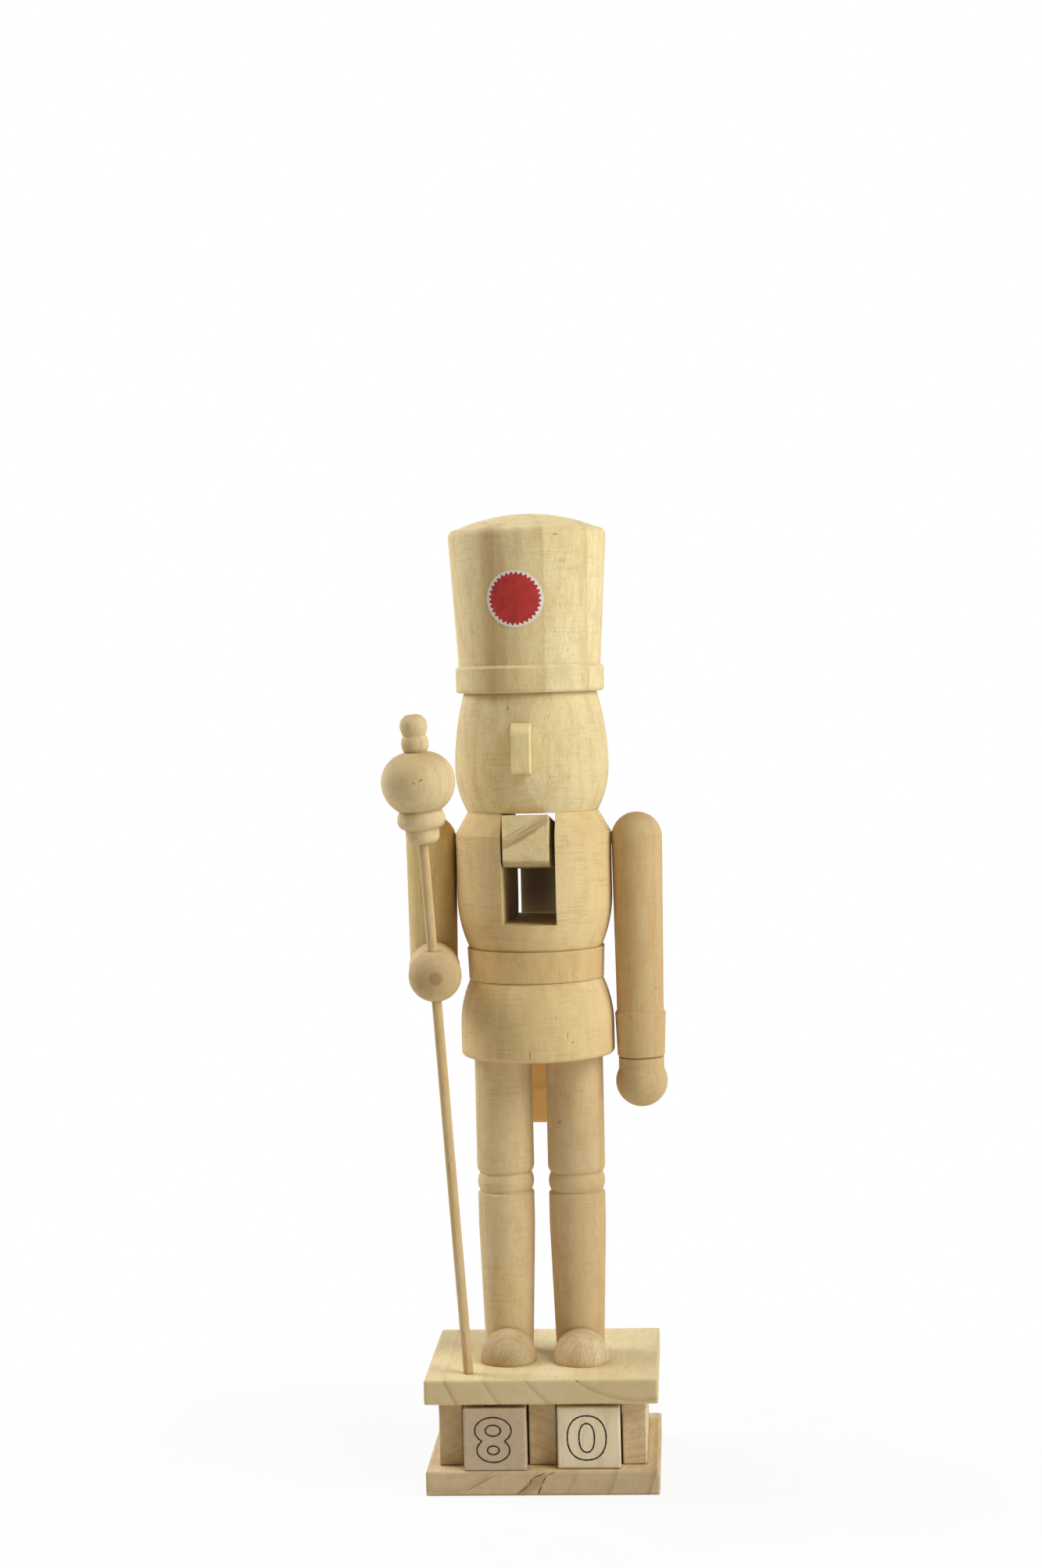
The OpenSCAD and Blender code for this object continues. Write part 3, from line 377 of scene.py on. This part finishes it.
def digitLoops(digit):
    # closed outlines of one digit: where the pen's edge passes, found on a fine grid
    if digit in inkedDigits["ovals"]:
        turn = np.linspace(0, 2 * math.pi, inkedDigits["ovalPoints"], endpoint=False)
        circle = np.stack([np.cos(turn), np.sin(turn)], 1)
        fuller = np.sign(circle) * abs(circle) ** inkedDigits["ovalBend"]
        return [fuller * halves for halves in inkedDigits["ovals"][digit]]
    points = []
    for stroke in inkedDigits["strokes"][digit]:
        if stroke[0] == "arc":
            _, cx, cy, rx, ry, first, last = stroke
            for t in np.radians(np.linspace(first, last, 73)):
                points.append((cx + rx * math.cos(t), cy + ry * math.sin(t)))
        else:
            _, x0, y0, x1, y1 = stroke
            for t in np.linspace(0, 1, 41):
                points.append((x0 + (x1 - x0) * t, y0 + (y1 - y0) * t))
    nibX, nibY = inkedDigits["nib"]
    cell = inkedDigits["cell"]
    xs, ys = (np.arange(-half, half + cell, cell) for half in inkedDigits["gridHalf"])
    gx, gy = np.meshgrid(xs, ys, indexing="ij")
    field = np.full(gx.shape, 99.0)
    for px, py in points:
        field = np.minimum(field, np.hypot((gx - px) / nibX, (gy - py) / nibY))
    field -= 1.0
    # walk the cells that the edge crosses, with one link for each
    links = {}
    for i in range(len(xs) - 1):
        for j in range(len(ys) - 1):
            corners = [(i, j), (i + 1, j), (i + 1, j + 1), (i, j + 1)]
            inside = [field[c] < 0 for c in corners]
            if all(inside) or not any(inside):
                continue
            crossed = []
            for k in range(4):
                a, b = corners[k], corners[(k + 1) % 4]
                if inside[k] != inside[(k + 1) % 4]:
                    crossed.append((min(a, b), max(a, b)))
            for a, b in zip(crossed[::2], crossed[1::2]):
                links.setdefault(a, []).append(b)
                links.setdefault(b, []).append(a)

    def spot(edge):
        a, b = edge
        t = field[a] / (field[a] - field[b])
        return (xs[a[0]] + (xs[b[0]] - xs[a[0]]) * t, ys[a[1]] + (ys[b[1]] - ys[a[1]]) * t)

    loops = []
    unused = set(links)
    while unused:
        edge = min(unused)
        loop = []
        while edge in unused:
            unused.discard(edge)
            loop.append(spot(edge))
            nextEdges = [e for e in links[edge] if e in unused]
            edge = nextEdges[0] if nextEdges else edge
        loop = np.array(loop)
        for _ in range(6):
            loop = 0.5 * loop + 0.25 * (np.roll(loop, 1, 0) + np.roll(loop, -1, 0))
        loops.append(loop[::3])
    return loops


def inkFinish():
    ink = {"black": "#2c2621", "thin": "#5a4b3c", "rough": 0.6}
    finish, start = blankFinish("printedInk")
    place = start.node("ShaderNodeTexCoord", out="Object")
    blotch = start.node("ShaderNodeTexNoise", {}, {"Vector": place, "Scale": 900.0, "Detail": 3.0})
    colour = (blotch.ease(0.5, 0.75) * 0.6).mixed(tint(ink["black"]), tint(ink["thin"]))
    normal = start.node("ShaderNodeBump", {}, {"Strength": 0.2, "Distance": 0.00005, "Height": blotch})
    closeFinish(start, {"Base Color": colour, "Roughness": ink["rough"] + (blotch - 0.5) * 0.2, "Normal": normal,
                        "Specular IOR Level": 0.25})
    return finish


printedInk = inkFinish()


def inkDigit(name, digit, body, centre, right, up, flip):
    if flip:
        right, up = -right, -up
    out = right.cross(up)
    work = bmesh.new()
    for loop in digitLoops(digit):
        ahead = np.roll(loop, -1, 0) - np.roll(loop, 1, 0)
        ahead /= np.maximum(np.linalg.norm(ahead, axis=1), 1e-9)[:, None]
        side = np.stack([-ahead[:, 1], ahead[:, 0]], 1)
        rows = []
        flat = inkedDigits["bevel"]
        for k, (point, edge) in enumerate(zip(loop, side)):
            uneven = 1 + 0.10 * math.sin(k * 1.7) + 0.07 * math.sin(k * 0.61 + digit)    # as print on wood is
            half = 0.5 * inkedDigits["lineWidth"] * uneven
            row = []
            for share, lift in ((-1, 0), (-flat, 1), (flat, 1), (1, 0)):
                across, above = point + edge * half * share
                where = centre + (right * across + up * above + out * inkedDigits["inkHeight"] * lift) / 1000
                row.append(work.verts.new(where))
            rows.append(row)
        for first, second in zip(rows, rows[1:] + rows[:1]):
            for k in range(3):
                work.faces.new((first[k], second[k], second[k + 1], first[k + 1]))
    bmesh.ops.recalc_face_normals(work, faces=work.faces)
    mesh = bpy.data.meshes.new(name)
    work.to_mesh(mesh)
    work.free()
    piece = bpy.data.objects.new(name, mesh)
    bpy.context.scene.collection.objects.link(piece)
    mesh.materials.append(printedInk)
    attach(piece, body)


blockFaces = {
    "front": ((0, -1, 0), (1, 0, 0), (0, 0, 1)),
    "back": ((0, 1, 0), (-1, 0, 0), (0, 0, 1)),
    "rightSide": ((-1, 0, 0), (0, -1, 0), (0, 0, 1)),
    "leftSide": ((1, 0, 0), (0, 1, 0), (0, 0, 1)),
    "top": ((0, 0, 1), (1, 0, 0), (0, 1, 0)),
    "under": ((0, 0, -1), (1, 0, 0), (0, -1, 0)),
}
blockDigits = {
    "number_block_right": {"body": "right_block", "side": 25, "turn": 0.0, "offset": -0.6,
                           "upsideDown": ["front", "top"],
                           "front": 8, "back": 6, "rightSide": 0, "leftSide": 7, "top": 1, "under": 2},
    "number_block_left": {"body": "left_block", "side": 25, "turn": -0.6, "offset": -0.8,
                          "upsideDown": ["under"],
                          "front": 0, "back": 3, "rightSide": 4, "leftSide": 1, "top": 2, "under": 5},
}
for block, printed in blockDigits.items():
    low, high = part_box(block)
    turned = Matrix.Rotation(math.radians(printed["turn"]), 3, "Z")    # how the block lies in its bay
    for face, axes in blockFaces.items():
        out, right, up = (turned @ Vector(axis) for axis in axes)
        middle = (low + high) / 2 + out * printed["side"] / 2000 + right * printed["offset"] / 1000
        inkDigit("digit_" + block.split("_")[-1] + "_" + face, printed[face], printed["body"], middle, right, up,
                 face in printed["upsideDown"])
print("number blocks printed")

# legs and feet

rightLeg = {"pale": "#e5d0a3", "warm": "#dcc18a", "pith": (-75, 70, 0), "line": (-24, -7, 100), "ring": 12.5,
            "ringDepth": 0.3, "pores": 0.2, "lathe": 0.22, "seed": 7.7}
dress(woodFinish("rightLegWood", rightLeg), "leg_right")

leftLeg = {"pale": "#ddc497", "warm": "#d3b27d", "pith": (60, 95, 0), "line": (23, -8, 100), "ring": 11.0,
           "ringDepth": 0.28, "pores": 0.2, "lathe": 0.22, "seed": 9.4,
           "marks": [{"at": (8.5, -10.8, 143.7), "along": (0.8, -0.5, 0.2), "half": (0.5, 1.0), "depth": 0.6}]}
dress(woodFinish("leftLegWood", leftLeg), "leg_left")

rightFoot = {"grain": (0.75, 0.25, 0.6), "pith": (-40, 10, 30), "line": (-16, -20, 55), "ring": 4.2, "pale": "#cebf97",
             "warm": "#c2ab81", "ringDepth": 0.4, "lateFrom": 0.4, "lateEdge": 0.2, "endDepth": 0.4, "fibre": 0.45,
             "streaks": 0.55, "blotch": 0.35, "lathe": 0.0, "seed": 0.7}
dress(woodFinish("rightFootWood", rightFoot), "foot_right")

leftFoot = {"grain": (0.1, 0.2, 1), "pith": (15, -60, 40), "line": (14, -21, 52), "ring": 4.8, "pale": "#ecdbb3",
            "warm": "#dec49b", "ringDepth": 0.3, "lateFrom": 0.4, "lateEdge": 0.2, "endDepth": 0.4, "fibre": 0.4,
            "streaks": 0.5, "blotch": 0.25, "lathe": 0.0, "seed": 3.9}
dress(woodFinish("leftFootWood", leftFoot), "foot_left")

print("legs and feet done")

# body, belt and jaw

body = {"pale": "#e8cf99", "warm": "#debe81", "pith": (-8, 75, 0), "line": (0, -28.5, 196), "ring": 6.2, "waver": 3.2,
        "ringDepth": 0.14, "lateEdge": 0.22, "fibre": 0.1, "streaks": 0.08, "blotch": 0.14, "patches": 0.4,
        "lathe": 0.28, "pores": 0.3, "seed": 1.3,
        # painted shade inside the mouth and the lever's slot
        "paintedShadeBox": ((-13, -22, 222), (14.4, 40, 276)),
        "marks": [{"at": (-1.7, -31.2, 174), "along": (0, 0, 1), "half": (0.22, 2.4), "depth": 0.8},
                  {"at": (8.8, -29.6, 188.2), "along": (0.1, 0, 1), "half": (0.3, 1.6), "depth": 0.3},
                  {"at": (13.3, -28.3, 181.4), "along": (0.1, 0, 1), "half": (0.35, 2.0), "depth": 0.38},
                  {"at": (15.4, -27.2, 178.4), "along": (0.8, 0.4, 0.5), "half": (0.45, 0.9), "depth": 0.4}]}
dress(woodFinish("bodyWood", body), "body")

belt = {"pale": "#e0c28a", "warm": "#d8b87c", "late": "#b58c55", "ring": 6.0, "pith": (20, 60, 0),
        "line": (0, -27, 208), "ringDepth": 0.2, "fibre": 0.25, "endDepth": 0.0, "lathe": 0.0, "seed": 4.8}
dress(woodFinish("beltVeneer", belt), "belt")

jaw = {"pale": "#fbecb6", "warm": "#f8dfa5", "late": "#b08856", "grain": (0, 1, 0.1), "pith": (-31.9, 0, 314.4),
       "line": (-2.3, 0, 262.2), "ring": 22.0, "waver": 2.0, "ringDepth": 1.0, "lateFrom": 0.76, "lateRise": 0.7,
       # painted shade on the lever's tail where it shows through the mouth
       "paintedShadeBox": ((-30, -20, 205), (30, 70, 262)), "paintedShadeTone": "#98866e", "paintedShadeFacing": (0, -1, 0),
       "endTint": "#d2ac6e", "endDepth": 0.08, "streaks": 0.3, "lathe": 0.0, "seed": 2.9,
       # painted light: the lever's tail is made brighter and more orange, standing in for warm light bounced between
       # the legs
       "marks": [{"at": (1.5, 36, 120), "along": (0, 0, 1), "half": (45, 120), "depth": 0.7, "tone": "#dda659"},
                 {"at": (-2.7, -30.7, 260.9), "along": (0.87, -0.04, 0.49), "half": (0.6, 8), "depth": 0.35,
                  "tone": "#94683c"},
                 {"at": (-0.1, -30.9, 264.4), "along": (0.87, -0.04, 0.49), "half": (0.5, 7), "depth": 0.3,
                  "tone": "#94683c"},
                 {"at": (-5.2, -30.6, 263.3), "along": (0.87, -0.04, 0.49), "half": (0.5, 6), "depth": 0.25,
                  "tone": "#94683c"},
                 # painted shade along the jaw's rounded lower front edge
                 {"at": (0.3, -29.0, 249.3), "along": (1, -0.05, 0), "half": (3.0, 40), "depth": 0.45,
                  "tone": "#7d5f3a"}]}
dress(woodFinish("jawWood", jaw), "jaw_lever")

print("body, belt and jaw done")

# head, nose and hat

head = {"pale": "#f0e1b0", "warm": "#e7ce94", "pith": (-67.6, 69, 0), "line": (0, -31.2, 290), "ring": 17.0,
        "waver": 2.0, "ringDepth": 0.36, "lateFrom": 0.5, "pores": 0.4, "lathe": 0.2, "seed": 8.8,
        "marks": [{"at": (-10.0, -29.6, 299), "along": (0, 0, 1), "half": (0.45, 0.7), "depth": 0.5},
                  {"at": (-7.6, -27.5, 312), "along": (0.3, 0, 1), "half": (0.5, 0.9), "depth": 0.5},
                  {"at": (16.6, -25.0, 307), "along": (0.2, 0, 1), "half": (0.35, 1.3), "depth": 0.5}]}
dress(woodFinish("headWood", head), "head")

# the nose's paler corners are partly rubbed wear, partly a painted highlight
nose = {"pith": (30, 20, 0), "line": (-3, -34, 296), "ring": 5.0, "pale": "#f7e6ac", "warm": "#f7d192",
        "ringDepth": 0.25, "pores": 0.15, "edges": 0.8, "lathe": 0.0, "seed": 5.2}
dress(woodFinish("noseWood", nose), "nose")

hat = {"pale": "#f5e4b1", "warm": "#ead195", "pith": (-102, -52.6, 0), "line": (8.6, -29.2, 350), "ring": 19.0,
       "waver": 2.4, "ringDepth": 0.5, "lateFrom": 0.7, "endTint": "#f2e2ba", "endDepth": 0.25, "pores": 0.4,
       "lathe": 0.2, "seed": 0.4,
       # a broad brown band down the front, left of the middle: partly a ring zone's colour, partly painted shade
       "marks": [{"at": (-12.2, -28.0, 352), "along": (0, 0, 1), "half": (6.5, 80), "depth": 0.24, "tone": "#ad7a3a"},
                 {"at": (12.9, -29.2, 380.3), "along": (1, 0.4, 0.1), "half": (0.6, 1.5), "depth": 0.4},
                 {"at": (13.4, -27.0, 336), "along": (0.2, 0, 1), "half": (0.5, 1.0), "depth": 0.55}]}
dress(woodFinish("hatWood", hat), "hat")

sticker = {"middle": (0, 0, 355.3), "turn": 7.0, "teeth": 32, "tip": 10.75, "valley": 9.5,
           "red": "#c43a33", "worn": "#b0342f", "paper": "#efe8dc", "rough": 0.38}


def stickerFinish():
    finish, start = blankFinish("stickerPaper")
    place = start.node("ShaderNodeTexCoord", out="Object")
    flat = start.node("ShaderNodeMapping", {"vector_type": "TEXTURE"},
                      {"Vector": place, "Location": metres(sticker["middle"]),
                       "Rotation": (0, 0, math.radians(-sticker["turn"])), "Scale": (0.001, 0.001, 0.001)})
    across = start.node("ShaderNodeSeparateXYZ", {}, {"Vector": flat}, out=0)
    upward = start.node("ShaderNodeSeparateXYZ", {}, {"Vector": flat}, out=2)
    reach = (across * across + upward * upward) ** 0.5
    bearing = across.maths("ARCTAN2", upward, across)
    tooth = bearing.maths("PINGPONG", bearing * (sticker["teeth"] / math.pi), 1.0)
    edge = sticker["valley"] + tooth * (sticker["tip"] - sticker["valley"])
    red = 1 - (reach - edge).ease(-0.06, 0.06)
    blotch = start.node("ShaderNodeTexNoise", {}, {"Vector": flat, "Scale": 0.35, "Detail": 4.0})
    weave = start.node("ShaderNodeTexNoise", {}, {"Vector": flat, "Scale": 9.0, "Detail": 2.0})
    inked = blotch.ease(0.35, 0.7).mixed(tint(sticker["red"]), tint(sticker["worn"]))
    paper = (weave.ease(0.45, 0.7) * 0.35).mixed(tint(sticker["paper"]), tint("#e2d8c6"))
    colour = red.mixed(paper, inked)
    normal = start.node("ShaderNodeBump", {}, {"Strength": 0.15, "Distance": 0.00005, "Height": weave})
    closeFinish(start, {"Base Color": colour, "Roughness": sticker["rough"] + (weave - 0.5) * 0.1 - red * 0.04,
                        "Normal": normal, "Specular IOR Level": 0.35})
    return finish


dress(stickerFinish(), "hat_sticker")
print("head, hat and sticker done")

# arms

leftArm = {"pith": (90, 55, 0), "line": (46, -9, 220), "ring": 9.5, "ringDepth": 0.32, "pale": "#dac08f",
           "warm": "#cfad77", "seed": 6.1, "lathe": 0.16}
dress(woodFinish("leftArmWood", leftArm), "arm_left")

rightArm = {"pith": (-95, 40, 0), "line": (-36, -8, 230), "ring": 9.0, "ringDepth": 0.32, "pale": "#e7d197",
            "warm": "#dab873", "seed": 7.2, "lathe": 0.12}
dress(woodFinish("rightArmWood", rightArm), "upper_arm_right")

forearm = {"pale": "#d3bc8f", "warm": "#caac78", "grain": (0.1115, -0.9938, 0), "pith": (-38.1, -38.2, 207.1),
           "line": (-33.1, -38.2, 207.1), "ring": 2.9, "waver": 0.9, "ringDepth": 0.4, "heart": 3.8, "endDepth": 0.3,
           "lathe": 0.12, "seed": 2.6}
dress(woodFinish("forearmWood", forearm), "forearm_right")

print("arms done")

# staff

staffLine = next(tuple(j["axis"]) for j in frame["record"]["behaviour"]["joints"] if j["name"] == "staff_lift")
rod = {"grain": staffLine, "pith": (-48, -20, 46), "line": (-30.6, -32.6, 60), "ring": 1.9, "waver": 0.6,
       "pale": "#dfcb9f", "warm": "#d3b073", "late": "#b98a4c", "ringDepth": 0.5, "fibre": 0.3, "lathe": 0.0,
       "seed": 9.9}
dress(woodFinish("rodWood", rod), "staff_rod")

finial = {"grain": staffLine, "pith": (-20, 30, 280), "line": (-34, -50, 285), "ring": 5.2, "ringDepth": 0.2,
          "pale": "#e8d4a5", "warm": "#dfc790", "pores": 0.25, "lathe": 0.08, "seed": 5.5,
          "marks": [{"at": (-42.7, -58.6, 284.2), "along": (1, 0, -0.2), "half": (0.45, 1.1), "depth": 0.5},
                    {"at": (-40.0, -58.3, 285.4), "along": (1, 0.15, 0.45), "half": (0.5, 1.2), "depth": 0.55}]}
dress(woodFinish("finialWood", finial), "staff_finial")

# pegs and the jaw's pin

peg = {"pale": "#d9bf8d", "warm": "#caa668", "ring": 2.2, "lathe": 0.0, "seed": 1.1}
dress(woodFinish("pegWood", peg), "rail_dowels", "leg_dowels", "neck_dowels", "hat_dowel", "shoulder_dowel_left",
      "shoulder_dowel_right", "elbow_dowel")


def pinFinish():
    pin = {"steel": "#b9bcc0", "dull": "#8d8f92", "rough": 0.34}
    finish, start = blankFinish("pinSteel")
    place = start.node("ShaderNodeTexCoord", out="Object")
    drawn = place.vector("MULTIPLY", place, (300.0, 9000.0, 9000.0))
    scratch = start.node("ShaderNodeTexNoise", {}, {"Vector": drawn, "Scale": 1.0, "Detail": 3.0})
    colour = scratch.ease(0.35, 0.7).mixed(tint(pin["steel"]), tint(pin["dull"]))
    normal = start.node("ShaderNodeBump", {}, {"Strength": 0.2, "Distance": 0.00003, "Height": scratch})
    closeFinish(start, {"Base Color": colour, "Roughness": pin["rough"] + (scratch - 0.5) * 0.2, "Normal": normal,
                        "Metallic": 1.0})
    return finish


dress(pinFinish(), "jaw_pin")
print("staff and pegs done")

# floor, light and camera

floor = {"half": 4.0, "level": -0.0003, "colour": "#f6f5f2", "grit": "#f1f0ec", "glow": 0.9, "whiteFrom": 0.3}


def layFloor():
    work = bmesh.new()
    half = floor["half"]
    corners = [work.verts.new((x * half, y * half, floor["level"])) for x, y in ((-1, -1), (1, -1), (1, 1), (-1, 1))]
    work.faces.new(corners)
    mesh = bpy.data.meshes.new("floor")
    work.to_mesh(mesh)
    work.free()
    piece = bpy.data.objects.new("floor", mesh)
    bpy.context.scene.collection.objects.link(piece)
    finish, start = blankFinish("paleFloor")
    place = start.node("ShaderNodeTexCoord", out="Object")
    grit = start.node("ShaderNodeTexNoise", {}, {"Vector": place, "Scale": 40.0, "Detail": 3.0})
    colour = grit.ease(0.3, 0.7).mixed(tint(floor["colour"]), tint(floor["grit"]))
    matt = start.node("ShaderNodeBsdfDiffuse", {}, {"Color": colour})
    seen = start.node("ShaderNodeLightPath", out="Is Camera Ray")
    far = place.vector("LENGTH", place, out=1).ease(0.1, floor["whiteFrom"])    # white away from the shadow
    glow = start.node("ShaderNodeEmission", {}, {"Color": (1, 1, 1, 1), "Strength": 1.0})
    white = floor["glow"] + far * (1 - floor["glow"])
    both = start.node("ShaderNodeMixShader", {}, {0: seen * white, 1: matt, 2: glow})
    start.node("ShaderNodeOutputMaterial", {}, {"Surface": both})
    mesh.materials.append(finish)


layFloor()

# bearing goes from the front towards the figure's left, power is in watts
boxSize = (0.6, 0.9)
boxDistance = 1.5
softBoxes = {
    "keyBox": {"bearing": 50, "height": 40, "power": 9.6, "tone": (1.03, 1.0, 0.96)},
    "rightBox": {"bearing": 75, "height": 40, "power": 5.6, "tone": (0.93, 1.0, 1.07)},
    "sideBox": {"bearing": 66, "height": 8, "power": 6.2, "tone": (0.95, 1.0, 1.05)},
    "rightBackBox": {"bearing": 135, "height": 8, "power": 1.4, "tone": (1.0, 1.0, 1.0)},
    "rimBox": {"bearing": -105, "height": 40, "power": 13.3, "tone": (0.97, 1.0, 1.04)},
    "lowRimBox": {"bearing": -125, "height": 8, "power": 3.3, "tone": (0.97, 1.0, 1.04)},
    "leftBox": {"bearing": -66, "height": 40, "power": 2.6, "tone": (1.16, 1.0, 0.84)},
    "backBox": {"bearing": -165, "height": 8, "power": 5.0, "tone": (1.0, 1.0, 1.0)},
}
target = Vector((0, 0, 0.25))
for name, box in softBoxes.items():
    bearing, height = math.radians(box["bearing"]), math.radians(box["height"])
    outward = Vector((math.sin(bearing) * math.cos(height), -math.cos(bearing) * math.cos(height), math.sin(height)))
    lamp = bpy.data.lights.new(name, "AREA")
    lamp.shape = "RECTANGLE"
    lamp.size, lamp.size_y = boxSize
    lamp.energy = box["power"]
    lamp.color = box["tone"]
    holder = bpy.data.objects.new(name, lamp)
    holder.location = target + outward * boxDistance
    holder.rotation_euler = outward.to_track_quat("Z", "Y").to_euler()
    holder.visible_camera = False
    bpy.context.scene.collection.objects.link(holder)

# white to look at, and no light of its own
world = bpy.data.worlds.new("whiteRoom")
world.use_nodes = True
world.node_tree.nodes.clear()
sky = Wire(world.node_tree)
camRay = sky.node("ShaderNodeLightPath", out="Is Camera Ray")
shine = sky.node("ShaderNodeLightPath", out="Is Glossy Ray")
clear = sky.node("ShaderNodeLightPath", out="Is Transmission Ray")
shown = camRay.maths("MINIMUM", camRay + shine + clear, 1.0)
backing = sky.node("ShaderNodeBackground", {}, {"Color": (1, 1, 1, 1), "Strength": shown})
sky.node("ShaderNodeOutputWorld", {}, {"Surface": backing})
bpy.context.scene.world = world

viewpoint = {"eye": (0.0616, -1.1109, 0.3298), "yaw": -3.41, "pitch": -2.53, "roll": -1.34, "lens": 62.84}
yaw, pitch, roll = (math.radians(viewpoint[k]) for k in ("yaw", "pitch", "roll"))
ahead = Vector((math.sin(yaw) * math.cos(pitch), math.cos(yaw) * math.cos(pitch), math.sin(pitch)))
level = Vector((math.cos(yaw), -math.sin(yaw), 0))
upright = level.cross(ahead)
sideways = math.cos(roll) * level + math.sin(roll) * upright
upward = -math.sin(roll) * level + math.cos(roll) * upright
lens = bpy.data.cameras.new("photoCamera")
lens.sensor_fit = "VERTICAL"
lens.sensor_height = 36.0
lens.lens = viewpoint["lens"]
lens.clip_start = 0.02
camera = bpy.data.objects.new("photoCamera", lens)
camera.matrix_world = Matrix.Translation(viewpoint["eye"]) @ Matrix((sideways, upward, -ahead)).transposed().to_4x4()
bpy.context.scene.collection.objects.link(camera)
bpy.context.scene.camera = camera
bpy.context.scene.view_settings.view_transform = "Standard"
print("floor, soft boxes and camera placed")
